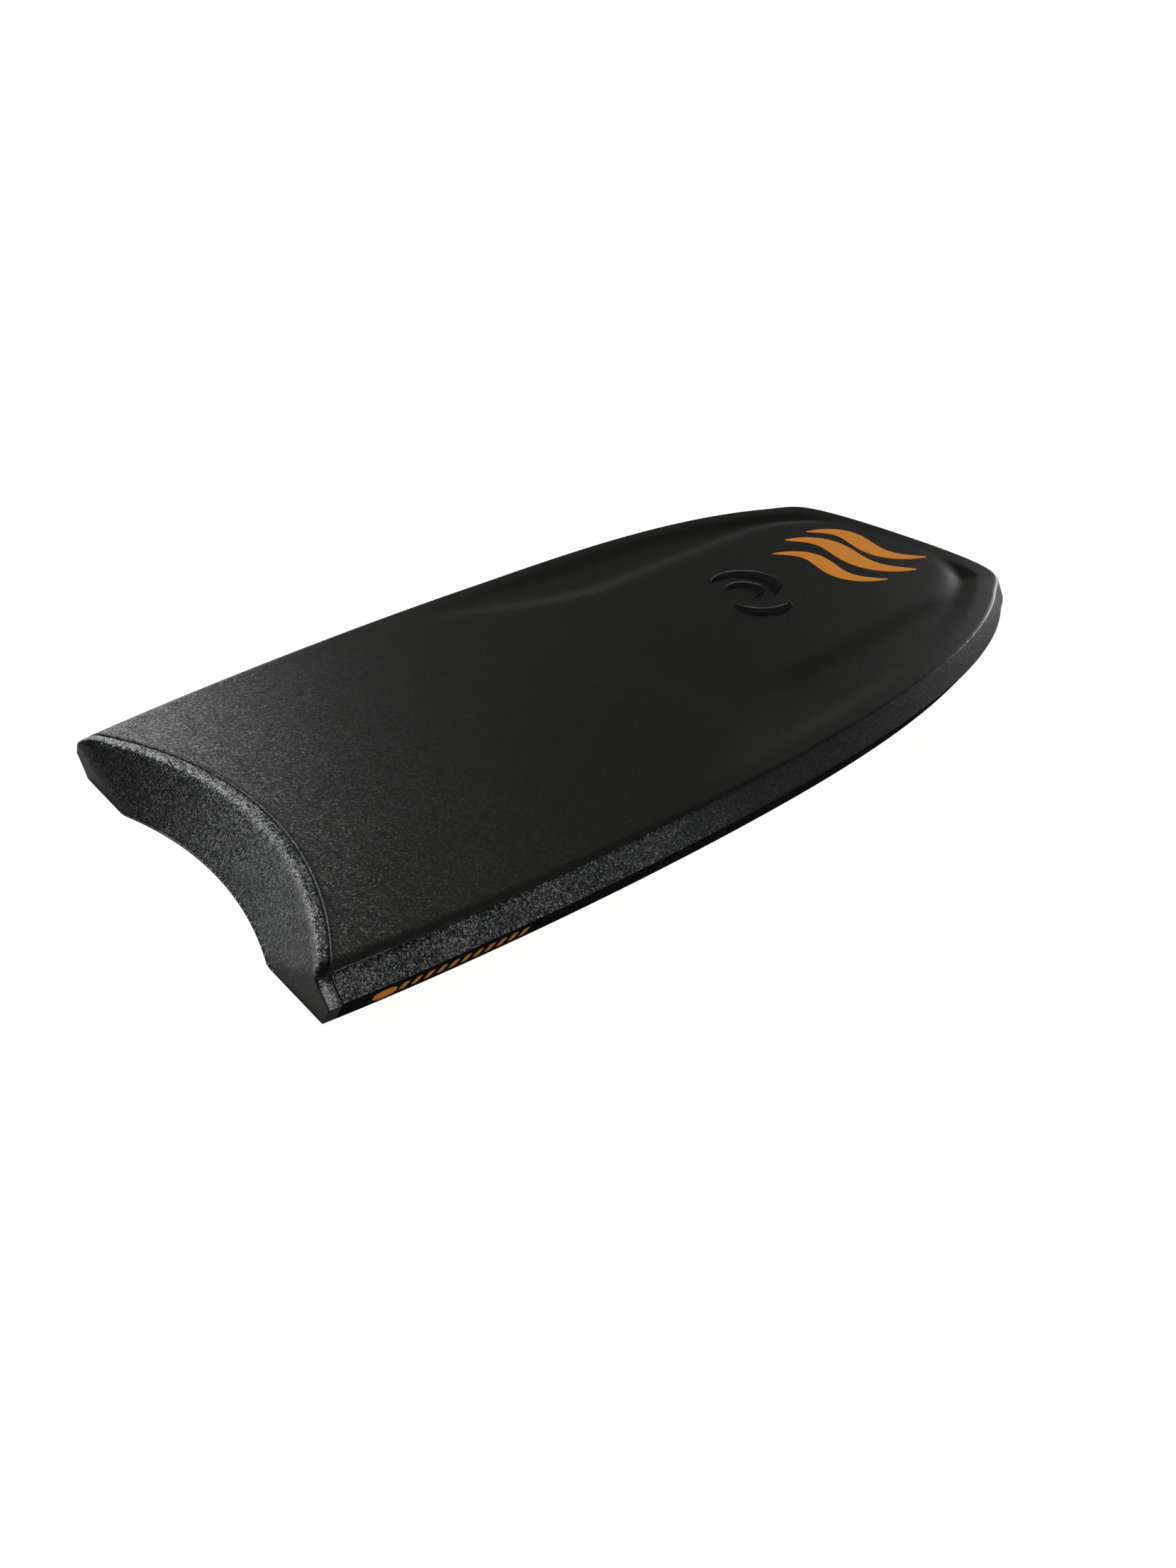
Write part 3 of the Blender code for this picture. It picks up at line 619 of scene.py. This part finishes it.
def bumper_mesh():
    """The strip's rear and front faces, joined by rings of edges over its rounded rim."""
    profile = []                        # (corner of the section, its outward normal, rounding)
    lower = (math.cos(LOWER_RAIL_LEAN), -math.sin(LOWER_RAIL_LEAN))
    tail_section = Section(TAIL)
    chine = (math.cos(tail_section.lean), math.sin(tail_section.lean))
    profile.append((lambda s: (s.side(STRIP_BASE), STRIP_BASE), (0, -1), RIM_AT_BOTTOM))
    for h in (0.006, 0.011, 0.016, 0.021):
        profile.append((lambda s, h=h: (s.side(h), h), lower, RIM_AT_SIDE))
    profile.append((lambda s: (0.0, s.edge), (1, 0.05), RIM_AT_SIDE))
    for rise in (0.005, 0.010):
        profile.append((lambda s, r=rise: (s.side(s.edge + r), s.edge + r), chine, RIM_AT_SIDE))
    for share in (1, 0.8, 0.6, 0.4, 0.2, 0):
        angle = tail_section.turn * share
        rim = RIM_AT_DECK + (RIM_AT_SIDE - RIM_AT_DECK) * share
        profile.append((lambda s, k=share: s.rolled(0, k), (math.sin(angle), math.cos(angle)), rim))
    rows = len(profile)
    bm = bmesh.new()
    row_of, column_of = (bm.verts.layers.int.new(n) for n in ("row", "column"))
    ring_of = bm.verts.layers.int.new("ring")
    bmesh.ops.create_grid(bm, x_segments=BUMPER_COLUMNS, y_segments=rows - 1, size=1)
    for vert in bm.verts:
        vert[row_of] = round((vert.co.y + 1) / 2 * (rows - 1))
        vert[column_of] = round((vert.co.x + 1) / 2 * BUMPER_COLUMNS)
    border = [e for e in bm.edges if e.is_boundary]
    rings = RIM_SHARES[1:] + ["seam", "front"]
    for ring in range(1, len(rings) + 1):
        grown = bmesh.ops.extrude_edge_only(bm, edges=border)["geom"]
        for vert in (g for g in grown if isinstance(g, bmesh.types.BMVert)):
            vert[ring_of] = ring
        border = [g for g in grown if isinstance(g, bmesh.types.BMEdge)
                  and all(v[ring_of] == ring for v in g.verts)]
    rear = list(bm.verts)
    copied = bmesh.ops.extrude_face_region(bm, geom=bm.faces[:])["geom"]
    front = [g for g in copied if isinstance(g, bmesh.types.BMVert)]

    def spot(row, c, ahead, inward, softness):
        """On the section's edge at a row and column, so far ahead and so far inside the edge."""
        corner, normal, _ = profile[row]

        def slid(section):
            return tuple(a + k * n * inward for a, k, n in zip(corner(section), (1, -1), normal))

        edge = at(tail_start(slid, ahead), slid)
        x = edge.x * abs(c)
        y = tail_face(x, edge.z, softness) + ahead
        return Vector((math.copysign(x, c), y, edge.z))

    def placed(row, c, ring, is_front):
        """Where a vertex goes, on the right half. The rear rim is rounded over, ring by ring."""
        rim = profile[row][2]
        if ring == len(rings):
            return spot(row, c, BUMPER, FRONT_CHAMFER, 0)
        if is_front:
            last = ring >= len(RIM_SHARES)
            inward = FRONT_CHAMFER if last else rim * (1 - RIM_SHARES[ring])
            return spot(row, c, BUMPER, inward, 0)
        if ring == len(RIM_SHARES):
            return spot(row, c, BUMPER - CHAMFER_DEPTH, 0, PEG_SOFTNESS)
        u = RIM_SHARES[ring]
        start = spot(row, c, 0, rim, PEG_SOFTNESS)
        sharp = spot(row, c, 0, 0, PEG_SOFTNESS)
        end = spot(row, c, rim, 0, PEG_SOFTNESS)
        return start * (1 - u) ** 2 + sharp * 2 * u * (1 - u) + end * u * u

    places = {}
    for verts, is_front in ((rear, False), (front, True)):
        for vert in verts:
            c = vert[column_of] / BUMPER_COLUMNS * 2 - 1
            key = (vert[row_of], abs(c), vert[ring_of], is_front)
            if key not in places:
                places[key] = placed(*key)
            vert.co = flip(places[key]) if c < 0 else places[key]
    return bm


# bluish black: the iron leaves the skin glossier than the deck's, and it shows along the rim; the
# bluish grey on its pebble's crowns is painted highlight, kept a little less on the two pegs
bumper_foam = pebbled_foam(
    "ironed_polyethylene_bumper", "#050608", "#13171c", 0.0015, 0.0004, 0.30, 0.60, 0.50,
    fade=("X", 0.214, 0.234, 0.70))
bumper = make_piece("tail_bumper_foam", bumper_mesh(), bumper_foam)
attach(bumper, "root")
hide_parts("tail_bumper")


# ---- Slick skin
# The bottom: 1.5 mm of hard, glossy ionomer sheet, heat-laminated over the net. It shows the net
# faintly, as a raised diamond mesh, and fine scratches from sand that all run along the board.
SLICK = 0.0015
NET_PITCH = 0.006
BAND_PITCH = 0.314            # between the bands of a wave texture at scale 1
SCRATCHES = 900, 14, 900      # to a metre: narrow across the board and long along it


def slick_sheet():
    """Near black with a long soft shine, broken by the scratches and the net's faint diamonds.

    Real scratches are finer than a hair; these are drawn a millimetre wide, so that they show.
    """
    material, tree, shader, place = new_finish("ionomer_slick_sheet")
    heights = []
    for turn in (45, -45):
        turned = put(tree, "ShaderNodeMapping", {
            "Vector": place, "Rotation": (0, 0, math.radians(turn))})
        lines = put(tree, "ShaderNodeTexWave", {
            "Vector": turned.outputs[0], "Scale": BAND_PITCH / NET_PITCH, "Distortion": 0.4,
            "Detail": 1.0}, wave_type="BANDS", bands_direction="X")
        heights.append(lines.outputs["Fac"])
    net = put(tree, "ShaderNodeMath", {0: heights[0], 1: heights[1]}, operation="MAXIMUM")
    ridge = put(tree, "ShaderNodeMapRange", {
        "Value": net.outputs[0], "From Min": 0.86, "From Max": 1.0},
        interpolation_type="SMOOTHSTEP")
    long_way = put(tree, "ShaderNodeMapping", {"Vector": place, "Scale": SCRATCHES})
    scratch = put(tree, "ShaderNodeTexNoise", {
        "Vector": long_way.outputs[0], "Scale": 1.0, "Detail": 2.0, "Roughness": 0.6})
    ripple = put(tree, "ShaderNodeTexNoise", {"Vector": place, "Scale": 1 / 0.06, "Detail": 1.0})
    bump_net = put(tree, "ShaderNodeBump", {
        "Strength": 0.35, "Distance": 0.0003, "Height": ridge.outputs[0]})
    bump = put(tree, "ShaderNodeBump", {
        "Strength": 0.25, "Distance": 0.002, "Height": ripple.outputs["Fac"],
        "Normal": bump_net.outputs[0]})
    rough = put(tree, "ShaderNodeMapRange", {
        "Value": scratch.outputs["Fac"], "From Min": 0.4, "From Max": 0.75,
        "To Min": 0.16, "To Max": 0.42})
    colour = put(tree, "ShaderNodeMix", {
        "Factor": scratch.outputs["Fac"], "A": linear("#101113"), "B": linear("#1d1e21")},
        data_type="RGBA")
    tree.links.new(colour.outputs["Result"], shader.inputs["Base Color"])
    tree.links.new(rough.outputs["Result"], shader.inputs["Roughness"])
    tree.links.new(bump.outputs["Normal"], shader.inputs["Normal"])
    shader.inputs["IOR"].default_value = 1.5
    return material


SLICK_ROWS = 100
slick = make_piece("slick_sheet", laminate(
    (lambda y: SLICK, [lambda s: (s.side(SLICK) + 0.003, SLICK), lambda s: (s.side(SLICK), SLICK),
                       lambda s: (s.side(SLICK * 0.6), SLICK * 0.6)], False, flat),
    (lambda y: 0.0, [lambda s: (s.side(0) + 0.003, 0), lambda s: (s.side(0) + 0.0007, 0.0),
                     lambda s: (s.side(0.0005), 0.0005)], False, flat),
    0.0, 0.0, list(np.linspace(0, 1, SLICK_ROWS))), slick_sheet())
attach(slick, "root")
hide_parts("slick_skin")


# ---- Prints
# Two marks on the deck and a row of dashes along the right lower rail, all plain shapes: orange
# ink screened on, satin and a little mottled, and a gloss black film with soft raised edges.
INK, FILM = 0.00025, 0.0011             # how thick they are
INK_GAP, INK_SUNK = 0.00003, 0.00005    # between a print and the deck; into the rail's slope
ORANGE_WAVES = (
    # four control points (x, y) of each stroke's middle line, and its greatest width
    (((-0.092, 0.436), (-0.040, 0.520), (0.006, 0.396), (0.072, 0.482)), 0.030),
    (((-0.093, 0.392), (-0.036, 0.476), (0.014, 0.352), (0.087, 0.440)), 0.033),
    (((-0.074, 0.344), (-0.022, 0.424), (0.018, 0.306), (0.080, 0.388)), 0.026),
)
FILM_ARCS = (
    # centre (x, y), radius, angles it runs between, and greatest width
    ((-0.030, 0.236), 0.042, 200, 20, 0.024),
    ((-0.022, 0.228), 0.021, 215, 5, 0.018),
    ((0.008, 0.228), 0.036, 30, -110, 0.022),
)
DASH_LENGTH, DASH_STEP, DASH_LOW, DASH_HIGH = 0.0055, 0.0112, 0.0075, 0.0185
DASHES_FROM, DASHES_TO, DASH_LEAN = -0.468, -0.345, 0.0015
PILL_Y, PILL_LENGTH, PILL_LOW, PILL_HIGH = -0.4845, 0.021, 0.0050, 0.0200


def deck_height(x, y):
    return rocker(y) + thickness(y) - elbow_well(x, y)


def stroke(bm, line, width, lift):
    """A tapered stroke laid on the deck along a line of points, rounded across if it is thick."""
    steps, across = len(line) - 1, 6
    start = len(bm.verts)
    bmesh.ops.create_grid(bm, x_segments=steps, y_segments=across, size=1)
    bm.verts.ensure_lookup_table()
    laid = bm.verts[start:]
    faces = {f for v in laid for f in v.link_faces}
    raised = bmesh.ops.extrude_face_region(bm, geom=list(faces))["geom"]
    top = {g for g in raised if isinstance(g, bmesh.types.BMVert)}
    for vert in laid + list(top):
        k = round((vert.co.x + 1) / 2 * steps)
        before, after = line[max(k - 1, 0)], line[min(k + 1, steps)]
        ahead = (after - before).normalized()
        half = width / 2 * max(math.sin(math.pi * k / steps), 0.02) ** 0.55
        v = vert.co.y
        spot = line[k] + Vector((-ahead.y, ahead.x)) * half * v
        rise = lift * (1 - 0.75 * v ** 4) if vert in top else 0.0
        vert.co = (spot.x, spot.y, deck_height(spot.x, spot.y) + INK_GAP + rise)


def printed_ink():
    """Satin orange, a little mottled by the foam's grain under it, which is drawn coarse."""
    material, tree, shader, place = new_finish("screened_orange_ink")
    mottle = put(tree, "ShaderNodeTexNoise", {
        "Vector": place, "Scale": 1 / 0.012, "Detail": 4.0, "Roughness": 0.65})
    grain = put(tree, "ShaderNodeTexVoronoi", {"Vector": place, "Scale": 1 / 0.0021})
    colour = put(tree, "ShaderNodeMix", {
        "Factor": mottle.outputs["Fac"], "A": linear("#bd7526"), "B": linear("#d68a34")},
        data_type="RGBA")
    bump = put(tree, "ShaderNodeBump", {
        "Strength": 0.15, "Distance": 0.0003, "Height": grain.outputs["Distance"]})
    tree.links.new(colour.outputs["Result"], shader.inputs["Base Color"])
    tree.links.new(bump.outputs["Normal"], shader.inputs["Normal"])
    shader.inputs["Roughness"].default_value = 0.48
    shader.inputs["Specular IOR Level"].default_value = 0.15
    return material


def gloss_film():
    """A deep black that shines sharply along its edges."""
    material, tree, shader, place = new_finish("gloss_black_transfer_film")
    ripple = put(tree, "ShaderNodeTexNoise", {"Vector": place, "Scale": 1 / 0.006, "Detail": 2.0})
    rough = put(tree, "ShaderNodeMapRange", {
        "Value": ripple.outputs["Fac"], "To Min": 0.06, "To Max": 0.16})
    bump = put(tree, "ShaderNodeBump", {
        "Strength": 0.2, "Distance": 0.0006, "Height": ripple.outputs["Fac"]})
    tree.links.new(rough.outputs["Result"], shader.inputs["Roughness"])
    tree.links.new(bump.outputs["Normal"], shader.inputs["Normal"])
    shader.inputs["Base Color"].default_value = linear("#060606")
    shader.inputs["IOR"].default_value = 1.52
    return material


ink = printed_ink()
waves = bmesh.new()
for points, width in ORANGE_WAVES:
    bend = interpolate_bezier(*(Vector((*p, 0)) for p in points), 65)
    stroke(waves, [p.xy for p in bend], width, INK)
wave_print = make_piece("wave_print", waves, ink)
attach(wave_print, "root")

arcs = bmesh.new()
for centre, radius, first, last, width in FILM_ARCS:
    turns = [math.radians(a) for a in np.linspace(first, last, 61)]
    stroke(arcs, [Vector(centre) + Vector((math.cos(a), math.sin(a))) * radius for a in turns],
           width, FILM)
arc_film = make_piece("arc_film", arcs, gloss_film())
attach(arc_film, "root")


def on_lower_rail(y, height, lift):
    """A point on the right lower rail's face, found by its place along the board."""
    distance = y - TAIL
    for _ in range(4):
        spot = at(distance, lambda s: (s.side(height) - lift, height))
        distance += y - spot.y
    return spot


rail_marks = bmesh.new()
# middle, length, lowest and highest point, how square it is and how far it leans
marks = [(PILL_Y, PILL_LENGTH, PILL_LOW, PILL_HIGH, 2.4, 0.0)]
marks += [(y, DASH_LENGTH, DASH_LOW, DASH_HIGH, 6.0, DASH_LEAN)
          for y in np.arange(DASHES_FROM, DASHES_TO, DASH_STEP)]
for middle, length, low, high, squareness, lean in marks:
    ring = bmesh.ops.create_circle(rail_marks, cap_ends=True, segments=28, radius=1)["verts"]
    face = ring[0].link_faces[0]
    lifted = bmesh.ops.extrude_face_region(rail_marks, geom=[face])["geom"]
    outer = {g for g in lifted if isinstance(g, bmesh.types.BMVert)}
    for vert in ring + list(outer):
        angle = math.atan2(vert.co.y, vert.co.x)
        c, s = math.cos(angle), math.sin(angle)
        u = math.copysign(abs(c) ** (2 / squareness), c)
        v = math.copysign(abs(s) ** (2 / squareness), s)
        height = (low + high) / 2 + (high - low) / 2 * v
        lift = INK if vert in outer else -INK_SUNK
        vert.co = on_lower_rail(middle + length / 2 * u + lean * v, height, lift)
rail_print = make_piece("rail_print", rail_marks, ink)
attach(rail_print, "root")


# ---- Hidden layers
# What the skins close in: a core of moulded polypropylene beads, a woven net over and under it,
# white contact foam, and two carbon tubes with moulded end caps and foam plugs in their bores.
def layer_material(name, build, roughness):
    """A material whose build(tree, place) returns its colour, its height and the height's scale."""
    material, tree, shader, place = new_finish(name)
    colour, height, depth = build(tree, place)
    bump = put(tree, "ShaderNodeBump", {"Strength": 0.6, "Distance": depth, "Height": height})
    tree.links.new(colour, shader.inputs["Base Color"])
    tree.links.new(bump.outputs["Normal"], shader.inputs["Normal"])
    shader.inputs["Roughness"].default_value = roughness
    return material


def cells(size, dark, light, depth):
    """Packed beads or cells, that many metres across, darker where they meet."""
    def build(tree, place):
        cell = put(tree, "ShaderNodeTexVoronoi", {"Vector": place, "Scale": 1 / size})
        colour = put(tree, "ShaderNodeMix", {
            "Factor": cell.outputs["Distance"], "A": linear(light), "B": linear(dark)},
            data_type="RGBA")
        round_top = put(tree, "ShaderNodeMath", {0: 1.0, 1: cell.outputs["Distance"]},
                        operation="SUBTRACT")
        return colour.outputs["Result"], round_top.outputs[0], depth
    return build


def crossed(pitch, turn, dark, light, depth):
    """Two sets of threads that cross, pitch metres apart and turned from the board's length."""
    def build(tree, place):
        sets = []
        for angle in (turn, turn - math.pi / 2):
            turned = put(tree, "ShaderNodeMapping", {"Vector": place, "Rotation": (0, 0, angle)})
            sets.append(put(tree, "ShaderNodeTexWave", {
                "Vector": turned.outputs[0], "Scale": BAND_PITCH / pitch}, bands_direction="X"))
        over = put(tree, "ShaderNodeMath", {
            0: sets[0].outputs["Fac"], 1: sets[1].outputs["Fac"]}, operation="MAXIMUM")
        colour = put(tree, "ShaderNodeMix", {
            "Factor": over.outputs[0], "A": linear(dark), "B": linear(light)}, data_type="RGBA")
        return colour.outputs["Result"], over.outputs[0], depth
    return build


# nodes, material's name, its pattern, roughness
LAYERS = (
    # chalky white with the outlines of 3.5 mm beads
    (("core",), "moulded_polypropylene_beads", cells(0.0035, "#b9b8b2", "#e9e8e3", 0.0006), 0.75),
    # off-white threads 6 mm apart, on the bias
    (("deck_mesh", "bottom_mesh"), "woven_polyester_net",
     crossed(NET_PITCH, math.pi / 4, "#8d8c86", "#e6e5df", 0.0004), 0.55),
    # matt white, its cells just visible and drawn three times as coarse as real ones
    (("contact_foam",), "crosslinked_contact_foam",
     cells(0.0012, "#cfcfcb", "#efefec", 0.0002), 0.80),
    # the same white, rougher where it was cut, and drawn as coarse
    (("bore_plug_left", "bore_plug_right"), "cut_foam_plug",
     cells(0.0015, "#c4c4bf", "#ecebe7", 0.0003), 0.80),
    # glossy black with a 2 mm weave under the resin
    (("stringer_tube_left", "stringer_tube_right"), "woven_carbon_tube",
     crossed(0.002, math.pi / 4, "#08080a", "#26272b", 0.0001), 0.28),
    # black with the spark texture of its mould, drawn coarser than it is
    (("stringer_cap_rear_left", "stringer_cap_rear_right", "stringer_cap_front_left",
      "stringer_cap_front_right"), "moulded_nylon_cap",
     cells(0.0007, "#151515", "#222222", 0.00005), 0.50),
)
for nodes, name, pattern, roughness in LAYERS:
    material = layer_material(name, pattern, roughness)
    for node in nodes:
        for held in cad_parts[node].material_slots:
            held.material = material
